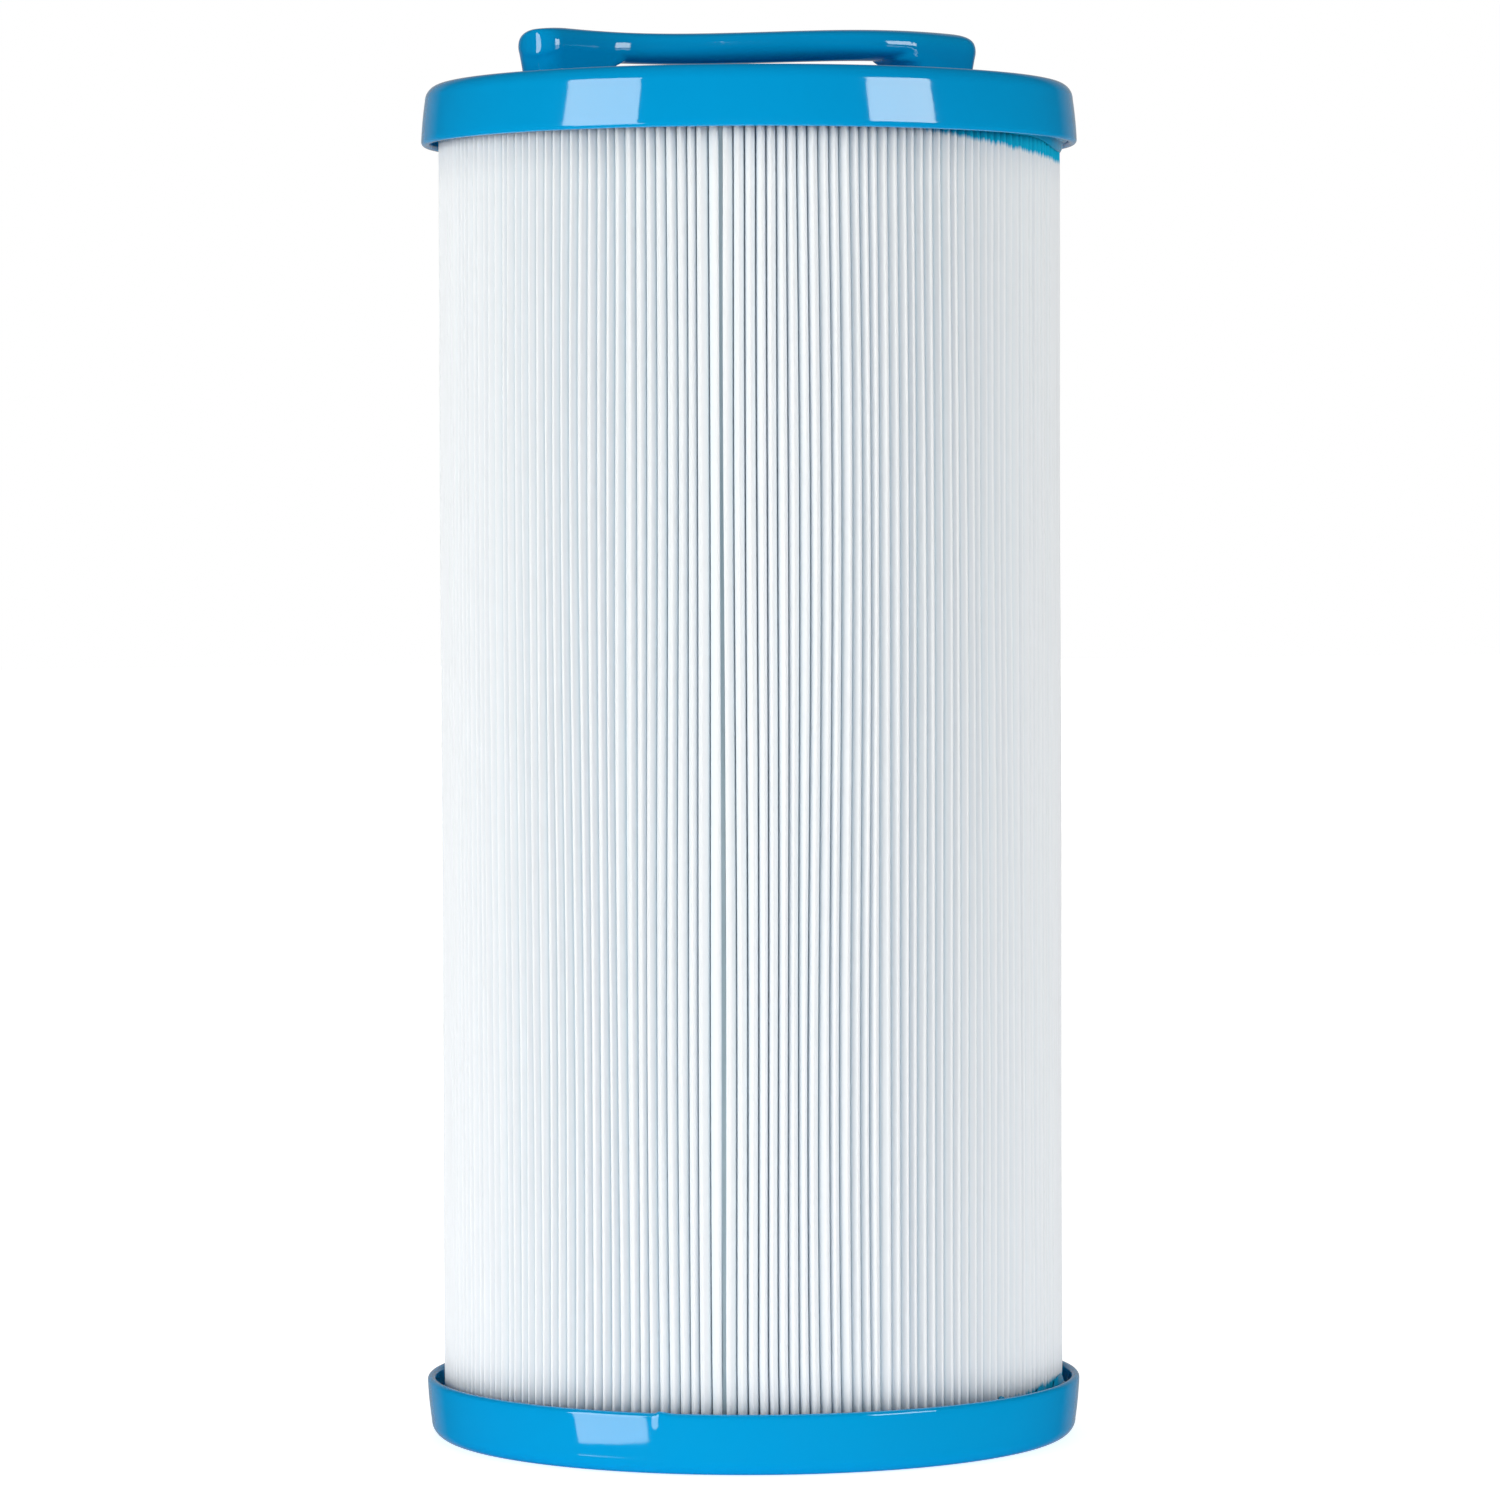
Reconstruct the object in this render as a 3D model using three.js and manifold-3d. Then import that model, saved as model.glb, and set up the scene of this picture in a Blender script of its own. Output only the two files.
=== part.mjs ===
// Pleated filter cartridge: folded media round a caged core, between two moulded end caps.
// Millimetres. Origin at the centre of the underside, +Z up the axis, +X along the handle.
import * as THREE from 'three';
import { mergeVertices } from 'three/addons/utils/BufferGeometryUtils.js';
import Module from 'manifold-3d';

const wasm = await Module();
wasm.setup();

// ---- overall ----
const HEIGHT = 314.2;            // underside to the flat top of the upper cap
const FIT = 0.3;                 // gap left between pieces that touch or are bonded
const ROUND_STEPS = 56;          // facets round each cap
const RING_STEPS = 40;           // facets round each inner ring

// ---- end caps ----
const CAP_LIP_R = 76.2;          // outside radius near the open edge of the skirt
const CAP_TOP_R = 75.3;          // outside radius where the skirt meets the edge rounding
const CAP_EDGE_R = 3.6;          // rounding between skirt and flat face
const CAP_LIP_ROUND = 1;         // full rounding of the skirt's open edge
const CAP_HEIGHT = 14;
const CAP_WALL = 2;
const CAP_PLATE = 2.2;

// ---- finger bowl in the upper cap ----
const BOWL_R = 28.6;
const BOWL_DEPTH = 16.5;
const BOWL_FLOOR_R = 24.5;       // radius of the bowl's flat floor
const BOWL_WALL = 2;
const BOWL_BRIM_R = 1.6;         // rounding at the bowl's mouth

// ---- potting ----
const POTTING_DEPTH = 5.5;
const POTTING_R = 72.7;

// ---- pleated media ----
const PLEATS = 188;
const PLEAT_OUTER_R = 72.4;
const PLEAT_INNER_R = 34.2;
const MEDIA_THICKNESS = 0.45;
const OUTER_FOLD_WIDTH = 1.0;
const INNER_FOLD_WIDTH = 0.84;
const SEAM_ANGLE = -1.976;       // where the sheet's ends meet, radians from +X
const SEAM_GAP = 1.5;            // extra opening between the two folds at the seam

// ---- seam strip ----
const STRIP_THICKNESS = 1.0;
const STRIP_OUTER_R = 70.5;
const STRIP_INNER_R = 52;

// ---- core ----
const CORE_OUTER_R = 33.8;
const CORE_WALL = 2.6;
const CORE_SIDES = 24;
const CORE_WINDOW_ROWS = 4;
const CORE_RIB_HEIGHT = 5;       // ring between two rows of windows
const CORE_RIB_SHARE = 0.3;      // share of each pair of sides that stays solid

// ---- socket ----
const SOCKET_MOUTH_R = 26.6;
const SOCKET_BORE_R = 28.6;
const SOCKET_TUBE_R = 30.6;
const SOCKET_HEIGHT = 20;
const SOCKET_LIP = 2.7;
const SEAL_TOP = 10;
const SEAL_LIP_R = 25.6;
const SEAL_LIP_BACK = 1.2;       // how far the seal's two faces stand back from its lip
const SEAL_LIP_HEIGHT = 1.2;
const SEAL_LIP_BELOW = 1.6;      // from the seal's top face down to its lip
const STOP_RING_R = 24.8;
const STOP_RING_CHAMFER = 0.8;

// ---- handle ----
const GRIP_TOP = 12.3;           // above the cap's flat face, at the middle
const GRIP_SADDLE = 0.4;         // extra height at the two ends
const GRIP_DEPTH = 7;            // top to underside of the bar
const GRIP_END = 52.5;           // half of the overall length
const GRIP_WAVE = 11.5;          // sideways swing of the lazy S
const GRIP_WAVE_END = 48.4;      // where each half of the S crosses the long axis again
const GRIP_HALF_WIDTH = 7.6;     // either side of the centreline, at the middle
const GRIP_OUTER_WIDTH = 10.4;   // at each end, on the outer side of the S
const GRIP_OUTER_ROUND = 8.4;    // length of the rounding on that side
const GRIP_INNER_WIDTH = 4.8;    // at each end, on the inner side of the S
const GRIP_INNER_ROUND = 3.9;
const GRIP_BLEND = 8;            // the ends keep their full width over this length
const GRIP_SQUARE_MIDDLE = 0.68; // superellipse exponent of the section: 1 is a lens, 0 is square
const GRIP_SQUARE_END = 0.5;
const GRIP_TIP_WIDTH = 0.5;      // half width left at the very tip
const GRIP_STATIONS = 26;
const GRIP_SECTION_STEPS = 14;
const LEG_START = 31;            // inner side of each leg, from the axis
const LEG_TAPER = 1.7;           // how much each leg narrows on every side going down
const LEG_SINK = 3;              // how far each leg reaches up into the bar
const LEG_STATIONS = [0, 0.15, 0.4, 0.65, 0.8, 0.9, 0.96];
const TANG_LENGTH = 12;
const TANG_WIDTH = 7;
const TANG_CENTRE = 42;
const TANG_BELOW = 4;            // reach below the cap's plate
const TANG_INSIDE = 2;           // reach up into the leg
const OVERCUT = 1;               // how far a cutter passes the face it cuts through

// ---------- shared helpers ----------

function toManifold(geometry) {
  const plain = geometry.clone();
  plain.deleteAttribute('normal');
  plain.deleteAttribute('uv');
  const merged = mergeVertices(plain, 1e-4);
  return new wasm.Manifold(new wasm.Mesh({
    numProp: 3,
    vertProperties: new Float32Array(merged.attributes.position.array),
    triVerts: new Uint32Array(merged.index.array),
  }));
}

function toGeometry(manifold) {
  const mesh = manifold.getMesh();
  const geometry = new THREE.BufferGeometry();
  geometry.setAttribute('position', new THREE.BufferAttribute(new Float32Array(mesh.vertProperties), 3));
  geometry.setIndex(new THREE.BufferAttribute(new Uint32Array(mesh.triVerts), 1));
  return geometry;
}

// A closed [radius, z] loop, listed anticlockwise, turned round the Z axis.
function revolve(loop, steps) {
  const points = [...loop, loop[0]].map(([r, z]) => new THREE.Vector2(r, z));
  const geometry = new THREE.LatheGeometry(points, steps);
  geometry.rotateX(Math.PI / 2);
  return facingOut(geometry);
}

function signedVolume(geometry) {
  const place = geometry.attributes.position;
  const index = geometry.index.array;
  const [a, b, c] = [new THREE.Vector3(), new THREE.Vector3(), new THREE.Vector3()];
  let volume = 0;
  for (let i = 0; i < index.length; i += 3) {
    a.fromBufferAttribute(place, index[i]);
    b.fromBufferAttribute(place, index[i + 1]);
    c.fromBufferAttribute(place, index[i + 2]);
    volume += a.dot(b.cross(c)) / 6;
  }
  return volume;
}

function facingOut(geometry) {
  if (signedVolume(geometry) > 0) return geometry;
  const index = geometry.index.array;
  for (let i = 0; i < index.length; i += 3) {
    [index[i + 1], index[i + 2]] = [index[i + 2], index[i + 1]];
  }
  return geometry;
}

// Rings of equal point count, joined in order and closed by a fan at each end.
function loft(rings) {
  const count = rings[0].length;
  const places = rings.flat().flatMap((p) => [p.x, p.y, p.z]);
  const faces = [];
  for (let r = 0; r + 1 < rings.length; r += 1) {
    for (let i = 0; i < count; i += 1) {
      const a = r * count + i;
      const b = r * count + ((i + 1) % count);
      faces.push(a, b, b + count, a, b + count, a + count);
    }
  }
  const last = (rings.length - 1) * count;
  for (let i = 1; i + 1 < count; i += 1) {
    faces.push(0, i + 1, i);
    faces.push(last, last + i, last + i + 1);
  }
  const geometry = new THREE.BufferGeometry();
  geometry.setAttribute('position', new THREE.Float32BufferAttribute(places, 3));
  geometry.setIndex(faces);
  return facingOut(geometry);
}

function arc(centreR, centreZ, radius, fromDegrees, toDegrees, steps) {
  return Array.from({ length: steps + 1 }, (_, i) => {
    const angle = THREE.MathUtils.degToRad(fromDegrees + ((toDegrees - fromDegrees) * i) / steps);
    return [centreR + radius * Math.cos(angle), centreZ + radius * Math.sin(angle)];
  });
}

// The whole cap is drawn as the upper one, with its flat face at z = 0 and the skirt hanging down.
function skirtOutside() {
  return [
    ...arc(CAP_LIP_R - CAP_LIP_ROUND, CAP_LIP_ROUND - CAP_HEIGHT, CAP_LIP_ROUND, -90, 0, 2),
    ...arc(CAP_TOP_R - CAP_EDGE_R, -CAP_EDGE_R, CAP_EDGE_R, 0, 90, 4),
  ];
}

function skirtInside() {
  return [
    [CAP_TOP_R - CAP_WALL, -CAP_PLATE],
    [CAP_LIP_R - CAP_WALL, CAP_LIP_ROUND - CAP_HEIGHT],
  ];
}

// ---------- end caps ----------

function topCap() {
  const shell = revolve([
    ...skirtOutside(),
    ...arc(BOWL_R + BOWL_BRIM_R, -BOWL_BRIM_R, BOWL_BRIM_R, 90, 180, 3),
    [BOWL_R, -BOWL_DEPTH + (BOWL_R - BOWL_FLOOR_R)],
    [BOWL_FLOOR_R, -BOWL_DEPTH],
    [0, -BOWL_DEPTH],
    [0, -BOWL_DEPTH - BOWL_WALL],
    [BOWL_FLOOR_R, -BOWL_DEPTH - BOWL_WALL],
    [BOWL_R + BOWL_WALL, -BOWL_DEPTH + (BOWL_R - BOWL_FLOOR_R) - BOWL_WALL / 2],
    [BOWL_R + BOWL_WALL, -CAP_PLATE],
    ...skirtInside(),
  ], ROUND_STEPS);
  const slots = tangs(FIT, -CAP_PLATE - OVERCUT, OVERCUT);
  return toGeometry(toManifold(shell).subtract(slots)).translate(0, 0, HEIGHT);
}

function bottomCap() {
  const shell = revolve([
    ...skirtOutside(),
    [SOCKET_MOUTH_R, 0],
    [SOCKET_MOUTH_R, -SOCKET_LIP],
    [SOCKET_BORE_R, -SOCKET_LIP],
    [SOCKET_BORE_R, -SOCKET_HEIGHT],
    [SOCKET_TUBE_R, -SOCKET_HEIGHT],
    [SOCKET_TUBE_R, -CAP_PLATE],
    ...skirtInside(),
  ], ROUND_STEPS);
  return shell.rotateX(Math.PI);
}

// ---------- potting ----------

function pottingRing(innerR) {
  return revolve([
    [innerR, 0],
    [POTTING_R, 0],
    [POTTING_R, POTTING_DEPTH],
    [innerR, POTTING_DEPTH],
  ], RING_STEPS);
}

function topPotting() {
  const ring = pottingRing(BOWL_R + BOWL_WALL + FIT);
  ring.translate(0, 0, HEIGHT - CAP_PLATE - FIT - POTTING_DEPTH);
  const pockets = tangs(FIT, -CAP_PLATE - TANG_BELOW - FIT, OVERCUT).translate([0, 0, HEIGHT]);
  return toGeometry(toManifold(ring).subtract(pockets));
}

function bottomPotting() {
  return pottingRing(SOCKET_TUBE_R + FIT).translate(0, 0, CAP_PLATE + FIT);
}

// ---------- media ----------

const MEDIA_BASE = CAP_PLATE + FIT + POTTING_DEPTH + FIT;
const MEDIA_HEIGHT = HEIGHT - 2 * MEDIA_BASE;

function onCircle(radius, angle, sideways = 0) {
  return new THREE.Vector2(
    radius * Math.cos(angle) - sideways * Math.sin(angle),
    radius * Math.sin(angle) + sideways * Math.cos(angle),
  );
}

function pleatedMedia() {
  const seamShare = SEAM_GAP / PLEAT_OUTER_R;
  const pitch = (2 * Math.PI - seamShare) / PLEATS;
  const outside = [];
  const inside = [];
  for (let i = 0; i < PLEATS; i += 1) {
    const crest = SEAM_ANGLE + (seamShare + pitch) / 2 + i * pitch;
    const isLast = i === PLEATS - 1;
    const valley = crest + (isLast ? (pitch + seamShare) / 2 : pitch / 2);
    const seamExtra = isLast ? SEAM_GAP / 2 : 0;
    const floorHalf = (INNER_FOLD_WIDTH + seamExtra) / 2;
    outside.push(onCircle(PLEAT_OUTER_R, crest, -OUTER_FOLD_WIDTH / 2));
    outside.push(onCircle(PLEAT_OUTER_R, crest, OUTER_FOLD_WIDTH / 2));
    if (isLast) {
      outside.push(onCircle(PLEAT_INNER_R + MEDIA_THICKNESS, valley, -seamExtra / 2));
      outside.push(onCircle(PLEAT_INNER_R + MEDIA_THICKNESS, valley, seamExtra / 2));
    } else {
      outside.push(onCircle(PLEAT_INNER_R + MEDIA_THICKNESS, valley));
    }
    inside.push(onCircle(PLEAT_OUTER_R - MEDIA_THICKNESS, crest));
    inside.push(onCircle(PLEAT_INNER_R, valley, -floorHalf));
    inside.push(onCircle(PLEAT_INNER_R, valley, floorHalf));
  }
  const shape = new THREE.Shape(outside);
  shape.holes.push(new THREE.Path(inside));
  const geometry = new THREE.ExtrudeGeometry(shape, { depth: MEDIA_HEIGHT, bevelEnabled: false });
  return toGeometry(toManifold(geometry)).translate(0, 0, MEDIA_BASE);
}

function seamStrip() {
  const depth = STRIP_OUTER_R - STRIP_INNER_R;
  const strip = new THREE.BoxGeometry(depth, STRIP_THICKNESS, MEDIA_HEIGHT);
  strip.translate(STRIP_INNER_R + depth / 2, 0, MEDIA_BASE + MEDIA_HEIGHT / 2);
  return strip.rotateZ(SEAM_ANGLE);
}

// ---------- core ----------

const CORE_SECTION_HEIGHT = (MEDIA_HEIGHT - 2 * FIT) / 3;

function coreSection(level) {
  const inner = CORE_OUTER_R - CORE_WALL;
  const tube = toManifold(revolve([
    [inner, 0],
    [CORE_OUTER_R, 0],
    [CORE_OUTER_R, CORE_SECTION_HEIGHT],
    [inner, CORE_SECTION_HEIGHT],
  ], CORE_SIDES));
  const columns = CORE_SIDES / 2;
  const columnWidth = (2 * Math.PI * inner) / columns;
  const rowHeight = (CORE_SECTION_HEIGHT - CORE_RIB_HEIGHT) / CORE_WINDOW_ROWS;
  const cutters = [];
  for (let row = 0; row < CORE_WINDOW_ROWS; row += 1) {
    for (let column = 0; column < columns; column += 1) {
      const cutter = new THREE.BoxGeometry(
        CORE_WALL * 4,
        columnWidth * (1 - CORE_RIB_SHARE),
        rowHeight - CORE_RIB_HEIGHT,
      );
      cutter.translate(CORE_OUTER_R, 0, CORE_RIB_HEIGHT / 2 + (row + 0.5) * rowHeight);
      cutter.rotateZ(((column + 0.5) * 2 * Math.PI) / columns);
      cutters.push(toManifold(cutter));
    }
  }
  const cage = tube.subtract(wasm.Manifold.union(cutters));
  return toGeometry(cage).translate(0, 0, MEDIA_BASE + level * (CORE_SECTION_HEIGHT + FIT));
}

// ---------- socket ----------

function sealRing() {
  const wall = SOCKET_BORE_R - FIT;
  return revolve([
    [SEAL_LIP_R + SEAL_LIP_BACK, SOCKET_LIP + FIT],
    [wall, SOCKET_LIP + FIT],
    [wall, SEAL_TOP],
    [SEAL_LIP_R + SEAL_LIP_BACK, SEAL_TOP],
    [SEAL_LIP_R, SEAL_TOP - SEAL_LIP_BELOW],
    [SEAL_LIP_R, SEAL_TOP - SEAL_LIP_BELOW - SEAL_LIP_HEIGHT],
  ], RING_STEPS);
}

function stopRing() {
  const wall = SOCKET_BORE_R - FIT;
  return revolve([
    [STOP_RING_R + STOP_RING_CHAMFER, SEAL_TOP + FIT],
    [wall, SEAL_TOP + FIT],
    [wall, SOCKET_HEIGHT],
    [STOP_RING_R, SOCKET_HEIGHT],
    [STOP_RING_R, SEAL_TOP + FIT + STOP_RING_CHAMFER],
  ], RING_STEPS);
}

// ---------- handle ----------

// Sideways position of the grip's centreline at a distance s along the handle:
// a sine wave, carried on straight past the points where it crosses the long axis.
function gripSwing(s) {
  const turn = THREE.MathUtils.clamp(s / GRIP_WAVE_END, -1, 1);
  const slope = (GRIP_WAVE * Math.PI) / GRIP_WAVE_END;
  const beyond = Math.max(0, Math.abs(s) - GRIP_WAVE_END);
  return -GRIP_WAVE * Math.sin(Math.PI * turn) + Math.sign(s) * beyond * slope;
}

// 0 at the middle of the grip, 1 at its two ends.
function towardsEnd(s) {
  return THREE.MathUtils.smoothstep(Math.abs(s), 0, GRIP_END - GRIP_BLEND);
}

function widthWithRounding(s, endWidth, round) {
  const full = THREE.MathUtils.lerp(GRIP_HALF_WIDTH, endWidth, towardsEnd(s));
  const into = Math.max(0, Math.abs(s) - (GRIP_END - round)) / round;
  return full * Math.sqrt(Math.max(0, 1 - into ** 2));
}

// Width to one side of the centreline: side 1 is to the left, looking along +X, and side -1 to the right.
function gripWidth(s, side) {
  const isOuter = s * side < 0;
  return isOuter
    ? widthWithRounding(s, GRIP_OUTER_WIDTH, GRIP_OUTER_ROUND)
    : widthWithRounding(s, GRIP_INNER_WIDTH, GRIP_INNER_ROUND);
}

function gripTop(s) {
  return GRIP_TOP + GRIP_SADDLE * towardsEnd(s);
}

function gripDirection(s) {
  const step = 0.01;
  return new THREE.Vector2(2 * step, gripSwing(s + step) - gripSwing(s - step)).normalize();
}

function gripSection(s) {
  const direction = gripDirection(s);
  const squareness = THREE.MathUtils.lerp(GRIP_SQUARE_MIDDLE, GRIP_SQUARE_END, towardsEnd(s));
  const halfDepth = GRIP_DEPTH / 2;
  return Array.from({ length: GRIP_SECTION_STEPS }, (_, i) => {
    const angle = ((i + 0.5) / GRIP_SECTION_STEPS) * 2 * Math.PI;
    const [c, d] = [Math.cos(angle), Math.sin(angle)];
    const width = Math.max(gripWidth(s, Math.sign(c)), GRIP_TIP_WIDTH);
    const across = width * Math.sign(c) * Math.abs(c) ** squareness;
    const up = halfDepth * Math.sign(d) * Math.abs(d) ** squareness;
    return new THREE.Vector3(
      s - across * direction.y,
      gripSwing(s) + across * direction.x,
      gripTop(s) - halfDepth + up,
    );
  });
}

function gripBar() {
  const sections = Array.from({ length: GRIP_STATIONS + 1 }, (_, i) => {
    const share = -Math.cos((Math.PI * i) / GRIP_STATIONS);
    return gripSection(share * GRIP_END);
  });
  return toManifold(loft(sections));
}

// Outline of one leg from above, at a height z, on the +X half of the S.
function legOutline(inset, z) {
  const stations = LEG_STATIONS.map(
    (share) => THREE.MathUtils.lerp(LEG_START + inset, GRIP_END - inset, share),
  );
  const edge = (side) => stations.map((s) => {
    const direction = gripDirection(s);
    const width = Math.max(gripWidth(s + inset, side) - inset, GRIP_TIP_WIDTH);
    return new THREE.Vector3(
      s - side * width * direction.y,
      gripSwing(s) + side * width * direction.x,
      z,
    );
  });
  return [...edge(-1), ...edge(1).reverse()];
}

function gripLeg() {
  const underside = GRIP_TOP - GRIP_DEPTH;
  return toManifold(loft([
    legOutline(LEG_TAPER, FIT),
    legOutline(LEG_TAPER / 2, underside),
    legOutline(LEG_TAPER / 3, underside + LEG_SINK),
  ]));
}

// Both tangs below the legs, grown by a clearance, between two heights.
function tangs(clearance, low, high) {
  const angle = Math.atan2(gripDirection(TANG_CENTRE).y, gripDirection(TANG_CENTRE).x);
  const both = [0, Math.PI].map((turn) => {
    const tang = new THREE.BoxGeometry(
      TANG_LENGTH + 2 * clearance,
      TANG_WIDTH + 2 * clearance,
      high - low,
    );
    tang.rotateZ(angle);
    tang.translate(TANG_CENTRE, gripSwing(TANG_CENTRE), (low + high) / 2);
    tang.rotateZ(turn);
    return toManifold(tang);
  });
  return both[0].add(both[1]);
}

function handle() {
  const leg = gripLeg();
  const grip = gripBar()
    .add(leg)
    .add(leg.rotate([0, 0, 180]))
    .add(tangs(0, -CAP_PLATE - TANG_BELOW, TANG_INSIDE));
  return toGeometry(grip).translate(0, 0, HEIGHT);
}

// ---------- assembly ----------

const CAP_BLUE = { color: 0x0a8ccf, roughness: 0.15, metalness: 0 };
const POTTING_BLUE = { color: 0x1f86c2, roughness: 0.35, metalness: 0 };
const POLYESTER = { color: 0xf2f5f7, roughness: 0.95, metalness: 0 };
const CORE_PLASTIC = { color: 0xe9ecee, roughness: 0.45, metalness: 0 };
const ELASTOMER = { color: 0x1b1c1e, roughness: 0.7, metalness: 0 };

const PIECES = [
  ['top_cap', topCap, CAP_BLUE],
  ['handle', handle, CAP_BLUE],
  ['top_potting', topPotting, POTTING_BLUE],
  ['pleated_media', pleatedMedia, POLYESTER],
  ['seam_strip', seamStrip, POLYESTER],
  ['core_upper', () => coreSection(2), CORE_PLASTIC],
  ['core_middle', () => coreSection(1), CORE_PLASTIC],
  ['core_lower', () => coreSection(0), CORE_PLASTIC],
  ['bottom_potting', bottomPotting, POTTING_BLUE],
  ['bottom_cap', bottomCap, CAP_BLUE],
  ['seal_ring', sealRing, ELASTOMER],
  ['stop_ring', stopRing, CORE_PLASTIC],
];

const cartridge = new THREE.Group();
cartridge.name = 'filter_cartridge';
for (const [name, build, finish] of PIECES) {
  const mesh = new THREE.Mesh(build(), new THREE.MeshStandardMaterial(finish));
  mesh.name = name;
  cartridge.add(mesh);
}

export default cartridge;
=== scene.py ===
"""Pleated filter cartridge: fine pieces, materials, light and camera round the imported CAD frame.

Metres, CAD frame: origin at the centre of the underside, +Z up, +X along the grip.
"""
import math

import bmesh
import bpy
import numpy as np
from mathutils import Matrix, Vector

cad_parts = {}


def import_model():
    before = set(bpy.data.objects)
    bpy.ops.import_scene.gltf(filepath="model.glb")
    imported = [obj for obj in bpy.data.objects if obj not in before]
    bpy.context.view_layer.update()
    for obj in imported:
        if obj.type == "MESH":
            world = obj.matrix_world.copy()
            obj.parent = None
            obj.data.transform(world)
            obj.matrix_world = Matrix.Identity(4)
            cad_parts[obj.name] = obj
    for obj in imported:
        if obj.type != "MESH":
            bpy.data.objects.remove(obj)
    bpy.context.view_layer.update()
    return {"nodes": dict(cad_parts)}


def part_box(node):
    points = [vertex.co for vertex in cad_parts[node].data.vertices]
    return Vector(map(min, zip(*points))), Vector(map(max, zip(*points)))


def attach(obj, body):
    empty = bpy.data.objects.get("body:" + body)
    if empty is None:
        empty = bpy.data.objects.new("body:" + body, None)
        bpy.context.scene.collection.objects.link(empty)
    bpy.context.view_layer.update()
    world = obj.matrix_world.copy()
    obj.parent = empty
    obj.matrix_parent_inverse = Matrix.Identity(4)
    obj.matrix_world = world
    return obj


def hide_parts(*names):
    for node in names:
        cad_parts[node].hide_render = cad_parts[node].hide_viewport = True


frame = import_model()

MM = 0.001
rng = np.random.default_rng(7)

# ---------------------------------------------------------------- sizes, millimetres
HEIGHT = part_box("top_cap")[1].z / MM

CAP_LIP_R = 76.2         # the skirt's open edge
CAP_TOP_R = 75.3         # the skirt beside the rounded outer edge
CAP_EDGE_R = 3.6         # rounding of that edge
CAP_LIP_ROUND = 1.0
CAP_HEIGHT = 14.0
CAP_WALL = 2.0
CAP_PLATE = 2.2
SKIRT_BOW = 0.12         # how far the skirt's outside stands out at mid height
SKIRT_CORNER = 1.0       # inside, between the skirt and the plate

BOWL_R = 28.6
BOWL_DEPTH = 16.5
BOWL_FLOOR_ROUND = 6.0
BOWL_WALL = 2.0
BOWL_BRIM_R = 1.6        # rounding at the bowl's mouth
BOWL_CENTRE_R = 12.0     # ring of points on the bowl's flat floor

SOCKET_MOUTH_R = 26.6
SOCKET_BORE_R = 28.6
SOCKET_TUBE_R = 30.6
SOCKET_HEIGHT = 20.0
SOCKET_LIP = 2.7
SOCKET_CHAMFER = 0.8
SEAL_TOP = 10.0
SEAL_LIP_R = 25.6
STOP_RING_R = 24.8
FIT = 0.3                # clearance between neighbouring pieces

PLEATS = 188
PLEAT_OUTER_R = 72.4
PLEAT_INNER_R = 34.2
SHEET = 0.45             # thickness
SEAM_ANGLE = -1.976      # where the sheet's ends meet, radians from +X
SEAM_GAP = 1.5           # extra opening between the two folds at the seam

CORE_OUTER_R = 33.8
CORE_WALL = 2.6
CORE_COLUMNS = 12
CORE_ROWS = 4
CORE_RIB_SHARE = 0.3     # share of each column that stays solid
CORE_HOOP = 5.0          # height of the rings between the windows
CORE_EDGE = 0.5          # rounding

GRIP_TOP = 12.3          # the bar's top above the cap
GRIP_SADDLE = 0.4        # extra height at the two ends
GRIP_DEPTH = 7.0
GRIP_END = 52.5          # half of the overall length
GRIP_WAVE = 10.9         # sideways swing of the S
GRIP_WAVE_END = 48.4     # where the swing's half wave ends
GRIP_HALF_WIDTH = 7.6    # either side of the centreline, at the middle
GRIP_OUTER_WIDTH = 10.4  # at each end, on the outer side of the S
GRIP_OUTER_ROUND = 8.4   # length of the rounding on that side
GRIP_INNER_WIDTH = 4.8
GRIP_INNER_ROUND = 3.9
GRIP_BLEND = 8.0         # the ends keep their full width over this length
GRIP_SHOULDER = 2.8      # from the top down to the widest level, amid the bar
GRIP_END_SHOULDER = 4.3  # the same at the ends
GRIP_DROOP = 0.8         # how far the top falls towards the tips
GRIP_SQUARE_ABOVE = 0.7  # superellipse exponents of the section: 1 is an ellipse, 0 a rectangle
GRIP_SQUARE_BELOW = 0.8
GRIP_TIP_WIDTH = 0.2     # least half width
LEG_START = 31.0         # the legs' inner ends
LEG_TAPER = 1.8          # how much each leg narrows on every side going down
LEG_FOOT_ROUND = 4.6     # rounding of the outer corner at the foot
LEG_FILLET = 2.6         # between a leg's inner end and the bar
LEG_SPREAD = 0.5         # the foot spreads this much where it meets the cap
LEG_SPREAD_SHARE = 0.1   # over this share of its height
LEG_LIFT = 0.05          # clearance over the cap
LEG_SINK = 0.2           # the legs stop this far below the bar's widest level
LEG_TIP_WIDTH = 0.3      # least half width
LEG_CORNER = 2.5         # length over which a leg reaches its full width
LEG_CORNER_WIDTH = 0.75  # share of the width at its inner end
VOXEL = 0.42             # grid that joins bar and legs
EASE_PASSES = 14         # smoothing after that
BAR_STATIONS = 120
LEG_LEVELS = 15
LEG_STATIONS = 26

# ---------------------------------------------------------------- camera
# Lengths in millimetres, angles in degrees. It stands to the front, a little left of -Y.

CAMERA_AZIMUTH = -18.0
CAMERA_DISTANCE = 1519.9
CAMERA_HEIGHT = 208.9
CAMERA_SIDE = -0.29
CAMERA_PITCH = 1.857
CAMERA_ROLL = -0.219
SENSOR = 36.0
FOCAL = 4.3427 * SENSOR
CAMERA_CLIP = 30.0       # metres

azimuth = math.radians(CAMERA_AZIMUTH)
back = Vector((math.sin(azimuth), -math.cos(azimuth), 0))
right = Vector((math.cos(azimuth), math.sin(azimuth), 0))
up = Vector((0, 0, 1))
toward_camera = math.atan2(back.y, back.x)


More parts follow.
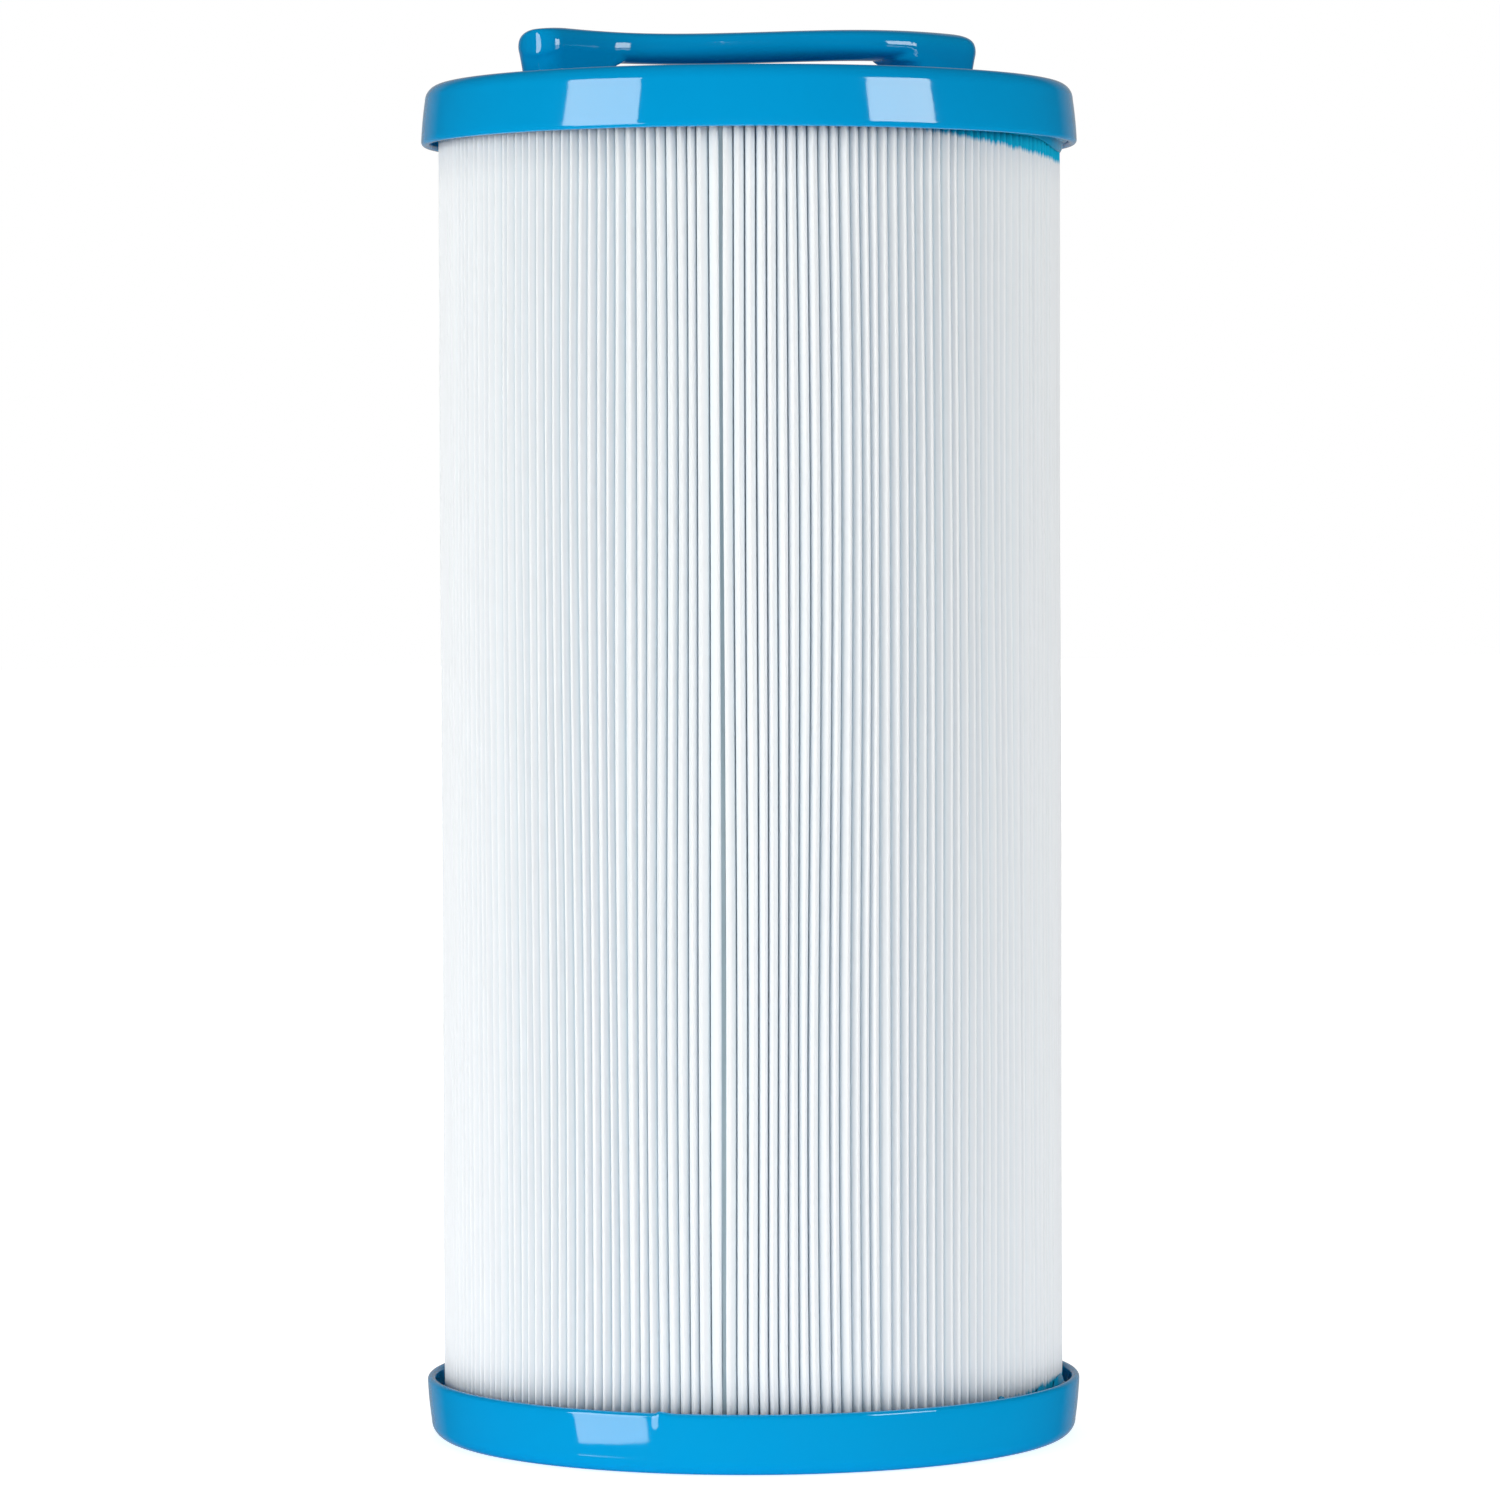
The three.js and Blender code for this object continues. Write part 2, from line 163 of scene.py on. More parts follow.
def add_camera():
    data = bpy.data.cameras.new("camera")
    data.lens = FOCAL
    data.sensor_width = SENSOR
    data.clip_end = CAMERA_CLIP
    camera = bpy.data.objects.new("camera", data)
    bpy.context.scene.collection.objects.link(camera)
    camera.location = (back * CAMERA_DISTANCE + right * CAMERA_SIDE + up * CAMERA_HEIGHT) * MM
    facing = Matrix.Rotation(azimuth, 4, "Z") @ Matrix.Rotation(math.radians(90 - CAMERA_PITCH), 4, "X")
    camera.rotation_mode = "QUATERNION"
    roll = Matrix.Rotation(math.radians(CAMERA_ROLL), 4, "Z")
    camera.rotation_quaternion = (facing @ roll).to_quaternion()
    bpy.context.scene.camera = camera


# ---------------------------------------------------------------- mesh helpers


def add_mesh(name, verts, faces, smooth=True):
    """A new object from points in millimetres."""
    mesh = bpy.data.meshes.new(name)
    mesh.from_pydata((np.asarray(verts, float) * MM).tolist(), [], faces)
    mesh.validate()
    obj = bpy.data.objects.new(name, mesh)
    bpy.context.scene.collection.objects.link(obj)
    bm = bmesh.new()
    bm.from_mesh(mesh)
    bmesh.ops.recalc_face_normals(bm, faces=bm.faces)
    bm.to_mesh(mesh)
    bm.free()
    mesh.polygons.foreach_set("use_smooth", [smooth] * len(mesh.polygons))
    return obj


def finish_piece(obj, material, slot, *nodes):
    """Give a piece its material, hang it under the root and hide the CAD nodes it stands in for."""
    obj.data.materials.clear()
    obj.data.materials.append(material)
    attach(obj, "root")
    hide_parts(*nodes)
    return obj


def apply_modifiers(obj):
    """Bake an object's modifiers into its mesh."""
    depsgraph = bpy.context.evaluated_depsgraph_get()
    made = bpy.data.meshes.new_from_object(obj.evaluated_get(depsgraph))
    obj.modifiers.clear()
    old = obj.data
    obj.data = made
    bpy.data.meshes.remove(old)
    return obj


def arc(centre_r, centre_z, radius, start, end, steps):
    """Points on an arc; the angles are in degrees."""
    angles = np.radians(np.linspace(start, end, steps + 1))
    return [(centre_r + radius * math.cos(a), centre_z + radius * math.sin(a)) for a in angles]


AXIS_TOLERANCE = 1e-6      # millimetres
MERGE_DISTANCE = 1e-7      # metres
SHARP_ANGLE = math.radians(32)
FINE_STEPS = 576           # round the rings whose edges vary
ROUND_STEPS = 288
SMALL_STEPS = 192          # round the socket's rings


def revolve(name, loop, steps=ROUND_STEPS, wobble=None):
    """A closed [radius, z] loop turned round the Z axis. wobble moves points: (angle, r, z) -> (r, z)."""
    count = len(loop)
    verts = []
    for i in range(steps):
        a = 2 * math.pi * i / steps
        for r, z in loop:
            if wobble:
                r, z = wobble(a, r, z)
            verts.append((r * math.cos(a), r * math.sin(a), z))
    faces = []
    for i in range(steps):
        j = (i + 1) % steps
        for k in range(count):
            m = (k + 1) % count
            if max(loop[k][0], loop[m][0]) < AXIS_TOLERANCE:
                continue
            faces.append((i * count + k, j * count + k, j * count + m, i * count + m))
    obj = add_mesh(name, verts, faces)
    bm = bmesh.new()
    bm.from_mesh(obj.data)
    bmesh.ops.remove_doubles(bm, verts=bm.verts, dist=MERGE_DISTANCE)
    bmesh.ops.recalc_face_normals(bm, faces=bm.faces)
    for edge in bm.edges:
        if len(edge.link_faces) == 2 and edge.calc_face_angle(0) > SHARP_ANGLE:
            edge.smooth = False
    bm.to_mesh(obj.data)
    bm.free()
    return obj


# ---------------------------------------------------------------- materials

CAP_TONES = ((0.0, 0.285, 0.63), (0.0, 0.30, 0.63))
POTTING_TONES = ((0.0, 0.24, 0.46), (0.0, 0.31, 0.56))
# painted shade: the seam strip's grey-blue stands in for the shadow in the groove at the seam
STRIP_PAINTED_SHADE_TONES = ((0.36, 0.47, 0.53), (0.50, 0.60, 0.66))
CORE_TONES = ((0.74, 0.77, 0.80), (0.83, 0.85, 0.87))
RUBBER_TONES = ((0.012, 0.012, 0.013), (0.03, 0.03, 0.032))
MEDIA_CREST = (0.80, 0.82, 0.872)
MEDIA_PAINTED_SHADE = (0.71, 0.795, 0.86)   # painted shade, darker down in the grooves
MEDIA_MOTTLE = (0.74, 0.79, 0.83)
PAINTED_SHADE_DEPTHS = (0.4, 2.0)           # below the crests, where the painted shade starts and where it is full
TONE_STOPS = (0.3, 0.7)             # noise levels of a material's dark and light tone

STAIN_COLOUR = (0.0, 0.42, 0.68)
STAIN_START = 0.5                   # sine of the bearing to the camera's right where it starts
STAIN_CLIMB = (-1.5, 4.0)           # shift of its edge, where it starts and at the far right
STAIN_LESS_BELOW = 3.7              # how much lower it stays at the bottom cap
STAIN_MIDDLE = (0.4, 0.6)           # shares of the height between which that changes
STAIN_FADE = (1.1, 0.1)             # full and gone this far short of the rim's level, before the shift
STAIN_RAGGED = 2.6


def map_range(tree, source, low, high, from_low, from_high):
    node = tree.nodes.new("ShaderNodeMapRange")
    node.inputs["From Min"].default_value = from_low
    node.inputs["From Max"].default_value = from_high
    node.inputs["To Min"].default_value = low
    node.inputs["To Max"].default_value = high
    tree.links.new(source, node.inputs["Value"])
    return node.outputs["Result"]


class Nodes:
    """Short names for building a node material."""

    def __init__(self, name):
        self.material = bpy.data.materials.new(name)
        self.material.use_nodes = True
        self.tree = self.material.node_tree
        self.shader = self.tree.nodes["Principled BSDF"]
        self.place = self.tree.nodes.new("ShaderNodeTexCoord").outputs["Object"]

    def add(self, kind, **values):
        node = self.tree.nodes.new(kind)
        for key, value in values.items():
            setattr(node, key, value)
        return node

    def link(self, a, b):
        self.tree.links.new(a, b)

    def put(self, key, value):
        self.shader.inputs[key].default_value = value

    def noise(self, scale, detail=3.0, rough=0.5, stretch=None):
        node = self.add("ShaderNodeTexNoise")
        node.inputs["Scale"].default_value = scale
        node.inputs["Detail"].default_value = detail
        node.inputs["Roughness"].default_value = rough
        source = self.place
        if stretch:
            mapping = self.add("ShaderNodeMapping")
            mapping.inputs["Scale"].default_value = stretch
            self.link(source, mapping.inputs["Vector"])
            source = mapping.outputs["Vector"]
        self.link(source, node.inputs["Vector"])
        return node.outputs["Fac"]

    def tint(self, fac, tones):
        """Base colour between a dark and a light tone."""
        node = self.add("ShaderNodeValToRGB")
        for element, at, colour in zip(node.color_ramp.elements, TONE_STOPS, tones):
            element.position = at
            element.color = (*colour, 1)
        self.link(fac, node.inputs["Fac"])
        self.link(node.outputs["Color"], self.shader.inputs["Base Color"])

    def roughen(self, fac, low, high, from_low=0.0, from_high=1.0):
        self.link(self.spread(fac, low, high, from_low, from_high), self.shader.inputs["Roughness"])

    def spread(self, fac, low, high, from_low=0.0, from_high=1.0):
        return map_range(self.tree, fac, low, high, from_low, from_high)

    def math(self, how, a, b=None):
        node = self.add("ShaderNodeMath", operation=how)
        for socket, value in zip(node.inputs, (a, b)):
            if value is None:
                continue
            if isinstance(value, (int, float)):
                socket.default_value = value
            else:
                self.link(value, socket)
        return node.outputs[0]

    def mix(self, fac, a, b):
        """Mix two colours; a Mix node's colour sockets are inputs 6 and 7 and output 2."""
        node = self.add("ShaderNodeMix", data_type="RGBA")
        for key, value in ((0, fac), (6, a), (7, b)):
            if isinstance(value, (tuple, float, int)):
                node.inputs[key].default_value = (*value, 1) if isinstance(value, tuple) else value
            else:
                self.link(value, node.inputs[key])
        return node.outputs[2]

    def bump(self, height, strength, distance, before=None):
        """Bump over an earlier bump, if any; the distance is in metres."""
        node = self.add("ShaderNodeBump")
        node.inputs["Strength"].default_value = strength
        node.inputs["Distance"].default_value = distance
        self.link(height, node.inputs["Height"])
        if before is not None:
            self.link(before, node.inputs["Normal"])
        self.link(node.outputs["Normal"], self.shader.inputs["Normal"])
        return node.outputs["Normal"]


def cap_plastic():
    """Glossy moulding with a trace of sink and smudges."""
    m = Nodes("cap_plastic")
    m.tint(m.noise(9, 2), CAP_TONES)
    smudge = m.noise(55, 4, 0.6)
    m.roughen(smudge, 0.035, 0.075, 0.3, 0.75)
    m.put("IOR", 1.52)
    m.put("Specular IOR Level", 0.55)
    ripple = m.bump(m.noise(60, 2), 0.05, 0.0005)
    m.bump(m.noise(1100, 2), 0.015, 0.0001, ripple)
    return m.material


def potting():
    """Cast compound, wet-looking and lumpy."""
    m = Nodes("potting")
    m.tint(m.noise(60, 4), POTTING_TONES)
    m.roughen(m.noise(200, 3), 0.12, 0.3)
    m.bump(m.noise(140, 3), 0.25, 0.0008)
    return m.material


def media():
    """Spun-bond polyester: near white, with long faint fibres, painted shade down in the grooves, and
    stained where compound wicked up.
    """
    m = Nodes("media")
    xyz = m.add("ShaderNodeSeparateXYZ")
    m.link(m.place, xyz.inputs[0])
    x, y, z = xyz.outputs
    radius = m.math("SQRT", m.math("ADD", m.math("MULTIPLY", x, x), m.math("MULTIPLY", y, y)))
    # painted shade: the sheet's colour darkens with depth below the crests, standing in for the shade in
    # the grooves
    lit, full = PAINTED_SHADE_DEPTHS
    depth = m.spread(radius, 1.0, 0.0, (PLEAT_OUTER_R - full) * MM, (PLEAT_OUTER_R - lit) * MM)
    body = m.mix(depth, MEDIA_CREST, MEDIA_PAINTED_SHADE)
    mottle = m.spread(m.noise(420, 4, 0.65, (1, 1, 0.25)), 0.0, 0.10, 0.35, 0.75)
    body = m.mix(mottle, body, MEDIA_MOTTLE)

    # height above the nearer end of the pack, with a ragged edge from fold to fold
    end = m.math("MINIMUM", z, m.math("SUBTRACT", HEIGHT * MM, z))
    ragged = m.math("MULTIPLY", m.noise(1500, 2, 0.6, (1, 1, 0.02)), STAIN_RAGGED * MM)
    sideways = m.math("ADD", m.math("MULTIPLY", x, right.x), m.math("MULTIPLY", y, right.y))
    turn = m.math("DIVIDE", sideways, radius)
    below, above = (share * HEIGHT * MM for share in STAIN_MIDDLE)
    less = m.spread(z, STAIN_LESS_BELOW, 0.0, below, above)
    rise = m.math("SUBTRACT", m.spread(turn, *STAIN_CLIMB, STAIN_START, 1.0), less)
    climb = m.math("MULTIPLY", rise, MM)
    edge = m.math("SUBTRACT", m.math("SUBTRACT", end, ragged), climb)
    full, gone = ((CAP_HEIGHT - short) * MM for short in STAIN_FADE)
    stain = m.spread(edge, 1.0, 0.0, full, gone)
    body = m.mix(stain, body, STAIN_COLOUR)
    m.link(body, m.shader.inputs["Base Color"])
    m.roughen(m.noise(700, 3), 0.75, 0.95)
    m.put("Specular IOR Level", 0.2)
    fibres = m.bump(m.noise(2600, 3, 0.6, (1, 1, 0.12)), 0.25, 0.0001)
    m.bump(m.noise(500, 3, 0.5, (1, 1, 0.3)), 0.15, 0.0003, fibres)
    return m.material


def painted_shade_strip():
    """Seam strip in grey-blue, painted shade: it stands in for the shadow in the groove at the seam."""
    m = Nodes("painted_shade_strip")
    m.tint(m.noise(90, 4, 0.5, (1, 1, 0.2)), STRIP_PAINTED_SHADE_TONES)
    m.roughen(m.noise(400, 3), 0.5, 0.8)
    m.bump(m.noise(800, 3, 0.5, (1, 1, 0.3)), 0.2, 0.0002)
    return m.material


def core_plastic():
    """Pale satin moulding."""
    m = Nodes("core_plastic")
    m.tint(m.noise(30, 3), CORE_TONES)
    m.roughen(m.noise(160, 3), 0.35, 0.55)
    m.bump(m.noise(1200, 2), 0.05, 0.0001)
    return m.material


def seal_rubber():
    """Soft black rubber."""
    m = Nodes("seal_rubber")
    m.tint(m.noise(80, 4), RUBBER_TONES)
    m.roughen(m.noise(300, 3), 0.5, 0.75)
    m.bump(m.noise(1500, 3), 0.15, 0.0001)
    return m.material


CAP = cap_plastic()
POTTING = potting()
MEDIA = media()
SEAM_SHADE_MATERIAL = painted_shade_strip()
CORE = core_plastic()
RUBBER = seal_rubber()

# ---------------------------------------------------------------- end caps

SKIRT_STEPS = 10
EDGE_STEPS = 10
GATE_ANGLE = toward_camera - math.radians(16.9)
GATE_LENGTH = math.radians(3.2)
GATE_HEIGHT = 0.55       # how far the mark stands above the open edge
GATE_DEPTH = 3.4         # how far it reaches down the skirt
GATE_PROUD = 0.13        # and how far it stands out there
GATE_INWARD = 2.5        # how far in from the lip it reaches
GATE_FACE = 1.0          # thickness of the skirt's face that stands out
GATE_LEVEL = 1.2         # in lip roundings: how much of the open edge it lifts


def skirt_outside():
    """From the open edge up to the rounded outer edge, measured from the cap's outer face."""
    low = (CAP_LIP_R, CAP_LIP_ROUND - CAP_HEIGHT)
    high = (CAP_TOP_R, -CAP_EDGE_R)
    points = arc(CAP_LIP_R - CAP_LIP_ROUND, low[1], CAP_LIP_ROUND, -180, 0, EDGE_STEPS)
    for i in range(1, SKIRT_STEPS):
        t = i / SKIRT_STEPS
        bow = SKIRT_BOW * 4 * t * (1 - t)
        points.append((low[0] + (high[0] - low[0]) * t + bow, low[1] + (high[1] - low[1]) * t))
    points += arc(CAP_TOP_R - CAP_EDGE_R, -CAP_EDGE_R, CAP_EDGE_R, 0, 90, EDGE_STEPS)
    return points


def skirt_inside():
    return [
        (CAP_TOP_R - CAP_WALL - SKIRT_CORNER, -CAP_PLATE),
        (CAP_TOP_R - CAP_WALL, -CAP_PLATE - SKIRT_CORNER),
    ]


def top_cap():
    """Skirt and flat top with a round finger bowl."""
    floor_r = BOWL_R - BOWL_FLOOR_ROUND
    outer_r = BOWL_R + BOWL_WALL
    loop = skirt_outside()
    loop += arc(BOWL_R + BOWL_BRIM_R, -BOWL_BRIM_R, BOWL_BRIM_R, 90, 180, 6)
    loop += arc(floor_r, BOWL_FLOOR_ROUND - BOWL_DEPTH, BOWL_FLOOR_ROUND, 0, -90, 8)
    loop += [(BOWL_CENTRE_R, -BOWL_DEPTH), (0, -BOWL_DEPTH), (0, -BOWL_DEPTH - BOWL_WALL)]
    loop += arc(floor_r, BOWL_FLOOR_ROUND - BOWL_DEPTH, BOWL_FLOOR_ROUND + BOWL_WALL, -90, 0, 8)
    loop += [(outer_r, -CAP_PLATE)]
    loop += skirt_inside()
    loop = [(r, z + HEIGHT) for r, z in loop]
    return finish_piece(revolve("top_cap_shell", loop), CAP, "cap_plastic", "top_cap")


def bottom_cap():
    """Skirt and flat underside with an open socket."""
    loop = skirt_outside()
    loop += [
        (SOCKET_MOUTH_R + SOCKET_CHAMFER, 0), (SOCKET_MOUTH_R, -SOCKET_CHAMFER),
        (SOCKET_MOUTH_R, -SOCKET_LIP),
        (SOCKET_BORE_R, -SOCKET_LIP), (SOCKET_BORE_R, -SOCKET_HEIGHT),
        (SOCKET_TUBE_R, -SOCKET_HEIGHT), (SOCKET_TUBE_R, -CAP_PLATE),
    ]
    loop += skirt_inside()
    loop = [(r, -z) for r, z in loop]

    def gate_mark(angle, r, z):
        """A trimmed moulding gate stands on the open edge: a sharp step, then a slope."""
        share = ((angle - GATE_ANGLE) % (2 * math.pi)) / GATE_LENGTH
        if share < 1 and r > CAP_LIP_R - GATE_INWARD:
            if z > CAP_HEIGHT - CAP_LIP_ROUND * GATE_LEVEL:
                z += GATE_HEIGHT * (1 - share)
            if z > CAP_HEIGHT - GATE_DEPTH and r > CAP_LIP_R - GATE_FACE:
                r += GATE_PROUD * (1 - share)
        return r, z

    shell = revolve("bottom_cap_shell", loop, FINE_STEPS, gate_mark)
    return finish_piece(shell, CAP, "cap_plastic", "bottom_cap")


# ---------------------------------------------------------------- potting

POTTING_TOP = 10.0       # level of the cast disc at the skirt, from the cap's outer face
POTTING_INNER = 8.0      # its level between the folds
POTTING_FREE = 8.5       # what is above this level climbs
POTTING_WALL_GAP = 0.1   # inside the skirt's wall
RIPPLE = 0.5             # unevenness of its edge
RIPPLES = 6
BEAD_SLOPE = 0.5         # share of the climb that is lost from the folds out to the wall
BEAD_LEAN = 0.06         # how far a bead leans on the wall, per millimetre of climb
# beads of compound: bearing to the camera's right and half width in degrees, height
TOP_BEADS = [(76, 36, 4.8), (90, 20, 2.0), (200, 20, 3)]
BOTTOM_BEADS = [(51, 1.6, 4.9), (66, 3.0, 4.9), (78, 6.0, 5.6), (-60, 12, 2), (150, 25, 3)]


def potting_ring(name, inner_r, node, flip, beads):
    """Cast disc with a ragged edge that climbs the folds and the cap's wall in beads."""
    wall = CAP_TOP_R - CAP_WALL - POTTING_WALL_GAP
    phase = rng.uniform(0, 2 * math.pi, RIPPLES)

    def climb_at(angle):
        ripples = sum(math.sin((k * 3 + 2) * angle + phase[k]) for k in range(RIPPLES))
        climb = RIPPLE * ripples / RIPPLES
        for bearing, half, height in beads:
            turn = (angle - toward_camera - math.radians(bearing) + math.pi) % (2 * math.pi) - math.pi
            climb += height * math.exp(-((turn / math.radians(half)) ** 4))
        return climb

    def ragged(angle, r, z):
        if z > POTTING_FREE:
            climb = climb_at(angle)
            outward = min(max((r - PLEAT_OUTER_R) / (wall - PLEAT_OUTER_R), 0.0), 1.0)
            z += climb * (1 - BEAD_SLOPE * outward)
            if r > wall:
                r += BEAD_LEAN * climb
        return (r, HEIGHT - z) if flip else (r, z)

    # the last points run from the wall over the rounded shoulder and down between the folds
    base = CAP_PLATE + FIT
    loop = [
        (inner_r, base), (wall - 1.2, base), (wall - 0.3, base + 1), (wall + 0.3, POTTING_TOP - 0.6),
        (wall + 0.35, POTTING_TOP), (wall - 0.1, POTTING_TOP),
        (PLEAT_OUTER_R + 0.25, POTTING_TOP - 0.2), (PLEAT_OUTER_R - 0.1, POTTING_TOP - 0.7),
        (PLEAT_OUTER_R - 0.4, POTTING_INNER), (inner_r, POTTING_INNER),
    ]
    ring = revolve(name, loop, FINE_STEPS, ragged)
    return finish_piece(ring, POTTING, "potting", node)


# ---------------------------------------------------------------- pleated media

WAVE_SPAN = 296.0        # height over which a wave's length is turned into cycles
SHARED_WAVES = 7
SHARED_AROUND = (2, 16)  # waves round the pack, from and up to but without
SHARED_ALONG = (0.3, 1.0)    # range of the wave counts, in spans per length
OWN_WAVES = 3
OWN_ALONG = (0.4, 1.3)
OWN_SIZE = (0.3, 1.0)
WAVE_END_SHARE = 0.06    # the drift eases off over this share of the height at both ends
WAVE_END_LEFT = 0.35     # down to this share of itself


def wave_field(count, rows, strength, length, seed, share=0.6):
    """Smooth drift for every fold along its height, partly shared with its neighbours."""
    local = np.random.default_rng(seed)
    z = np.linspace(0, 1, rows)
    fold = np.arange(count) / count * 2 * math.pi
    field = np.zeros((count, rows))
    for _ in range(SHARED_WAVES):
        around = local.integers(*SHARED_AROUND)
        along = local.uniform(*SHARED_ALONG) * WAVE_SPAN / length
        turn = local.uniform(0, 2 * math.pi, 2)
        round_wave = np.sin(around * fold + turn[0])[:, None]
        field += round_wave * np.sin(2 * math.pi * along * z + turn[1])[None, :]
    field *= share / 2.0
    own = np.zeros((count, rows))
    for _ in range(OWN_WAVES):
        along = local.uniform(*OWN_ALONG, count) * WAVE_SPAN / length
        turn = local.uniform(0, 2 * math.pi, count)
        size = local.uniform(*OWN_SIZE, count)
        own += size[:, None] * np.sin(2 * math.pi * along[:, None] * z[None, :] + turn[:, None])
    field += own * (1 - share) / 1.5
    ends = np.clip(np.minimum(z, 1 - z) / WAVE_END_SHARE, 0, 1)
    return field * strength * (WAVE_END_LEFT + (1 - WAVE_END_LEFT) * ends)[None, :]


LEVELS = 19                  # rows of points up the pack
CREST_SINK = 0.12            # the crests lie this far inside the pack's radius
CREST_UNEVEN = 0.06          # from fold to fold
CREST_JITTER = 0.2           # sideways, from fold to fold
CREST_HALF = 0.42            # radius of the rounded crest
CREST_HALF_UNEVEN = 0.06
CREST_HALF_LIMITS = (0.32, 0.58)
CREST_TURNS = (8, 42, 74)    # degrees round each half of it
FLANK_DEPTHS = (0.8, 1.2, 1.8, 3.2, 21.0)
GROOVE = 0.03                # gap between neighbouring folds well below the crests
GROOVE_FADE = 0.55           # depth over which the groove closes to that
GROOVE_FROM = 0.4            # depth where it starts to close
CENTRING_DEPTH = 20          # where a wandering groove is back over its valley
INNER_DEPTH = 12.0           # one ring of points on the sheet's inner face
INNER_CREST_SHARE = 0.9      # its crest's width, as a share of the outer crest's less the sheet
VALLEY_RISE = 0.1            # of the outer face over the sheet, at the valleys
VALLEY_SIDE = 0.33
SEAM_GROOVE = 0.9
SEAM_EXTRA = 0.25            # the folds on both sides of the seam are fuller
SEAM_LEAN = 0.65             # and lean towards it


def pleat_pack():
    """One closed sheet: each fold has a rounded crest, two flanks close to the next, and a valley."""
    low, high = (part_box("pleated_media")[k].z / MM for k in (0, 1))
    z = np.linspace(low, high, LEVELS)
    seam = SEAM_GAP / PLEAT_OUTER_R
    pitch = (2 * math.pi - seam) / PLEATS
    start = SEAM_ANGLE + (seam + pitch) / 2 + np.arange(PLEATS) * pitch
    crest = start[:, None] + rng.normal(0, CREST_JITTER, PLEATS)[:, None] / PLEAT_OUTER_R
    crest[0] -= SEAM_LEAN / PLEAT_OUTER_R
    crest[-1] += SEAM_LEAN / PLEAT_OUTER_R
    wander = wave_field(PLEATS, LEVELS, strength=0.5, length=250, seed=11, share=0.7)
    crest = crest + wander / PLEAT_OUTER_R
    top_r = PLEAT_OUTER_R - CREST_SINK
    top_r = top_r + wave_field(PLEATS, LEVELS, strength=0.10, length=160, seed=12, share=0.3)
    top_r = top_r + rng.normal(0, CREST_UNEVEN, PLEATS)[:, None]
    half = CREST_HALF + rng.normal(0, CREST_HALF_UNEVEN, PLEATS)[:, None]
    half = half + wave_field(PLEATS, LEVELS, strength=0.05, length=160, seed=13, share=0.2)
    half = np.clip(half, *CREST_HALF_LIMITS)
    half[[0, -1]] += SEAM_EXTRA
    valley = start + pitch / 2
    valley[-1] += seam / 2

    following = np.roll(crest, -1, axis=0)
    following[-1] += 2 * math.pi
    left_edge = crest + half / PLEAT_OUTER_R
    right_edge = following - np.roll(half, -1, axis=0) / PLEAT_OUTER_R
    mouth = (left_edge + right_edge) / 2
    mouth_gap = (right_edge - left_edge) * PLEAT_OUTER_R
    groove = np.full((PLEATS, 1), GROOVE)
    groove[-1] = SEAM_GROOVE

    def place(r, angle, side=0.0):
        """Points at a radius and angle, moved sideways by some millimetres."""
        return np.stack([
            r * np.cos(angle) - side * np.sin(angle),
            r * np.sin(angle) + side * np.cos(angle),
            np.broadcast_to(z, np.broadcast(r, angle).shape),
        ], axis=-1)

    def wall(depth, sign, inward=0.0):
        """A fold's flank at a depth below its crest; inward goes into the sheet."""
        r = top_r - depth
        centre = mouth + (valley[:, None] - mouth) * min(1.0, depth / CENTRING_DEPTH)
        closing = math.exp(-(depth - GROOVE_FROM) / GROOVE_FADE)
        gap = groove + np.maximum(mouth_gap - groove, 0) * closing
        if sign > 0:
            return place(r, centre - (gap / 2 + inward) / r)
        centre = np.roll(centre, 1, axis=0)
        centre[0] -= 2 * math.pi
        return place(r, centre + (np.roll(gap, 1, axis=0) / 2 + inward) / r)

    outer = [wall(depth, -1) for depth in reversed(FLANK_DEPTHS)]
    for sign, turns in ((-1, CREST_TURNS), (1, reversed(CREST_TURNS))):
        for turn in turns:
            c, s = math.cos(math.radians(turn)), math.sin(math.radians(turn))
            outer.append(place(top_r - half * (1 - s), crest, sign * half * c))
    outer += [wall(depth, 1) for depth in FLANK_DEPTHS]
    valley_r = np.full_like(top_r, PLEAT_INNER_R + SHEET + VALLEY_RISE)
    outer.append(place(valley_r, valley[:, None] + 0 * top_r))
    outer = np.stack(outer, axis=1)

    before = np.roll(valley, 1)
    before[0] -= 2 * math.pi
    inner_r = np.full_like(top_r, PLEAT_INNER_R)
    inner = np.stack([
        place(inner_r, before[:, None] + 0 * top_r, VALLEY_SIDE),
        wall(INNER_DEPTH, -1, SHEET),
        place(top_r - SHEET, crest, -(half - SHEET) * INNER_CREST_SHARE),
        place(top_r - SHEET, crest, (half - SHEET) * INNER_CREST_SHARE),
        wall(INNER_DEPTH, 1, SHEET),
        place(inner_r, valley[:, None] + 0 * top_r, -VALLEY_SIDE),
    ], axis=1)

    verts = []
    faces = []

    def skin(block):
        """Add one face of the sheet, an array of [fold, point, level, xyz]; returns its first point."""
        folds, points, count, _ = block.shape
        first = sum(len(v) for v in verts)
        verts.append(block.reshape(-1, 3))
        ring = np.arange(folds * points)
        a = ring[:, None] * count + np.arange(count - 1)[None, :]
        b = np.roll(ring, -1)[:, None] * count + np.arange(count - 1)[None, :]
        quads = np.stack([a, b, b + 1, a + 1], axis=-1).reshape(-1, 4) + first
        faces.extend(map(tuple, quads.tolist()))
        return first

    out_first = skin(outer)
    in_first = skin(inner)
    per_out, per_in = outer.shape[1], inner.shape[1]
    deep = len(FLANK_DEPTHS)
    last = per_out - 1
    rows = LEVELS
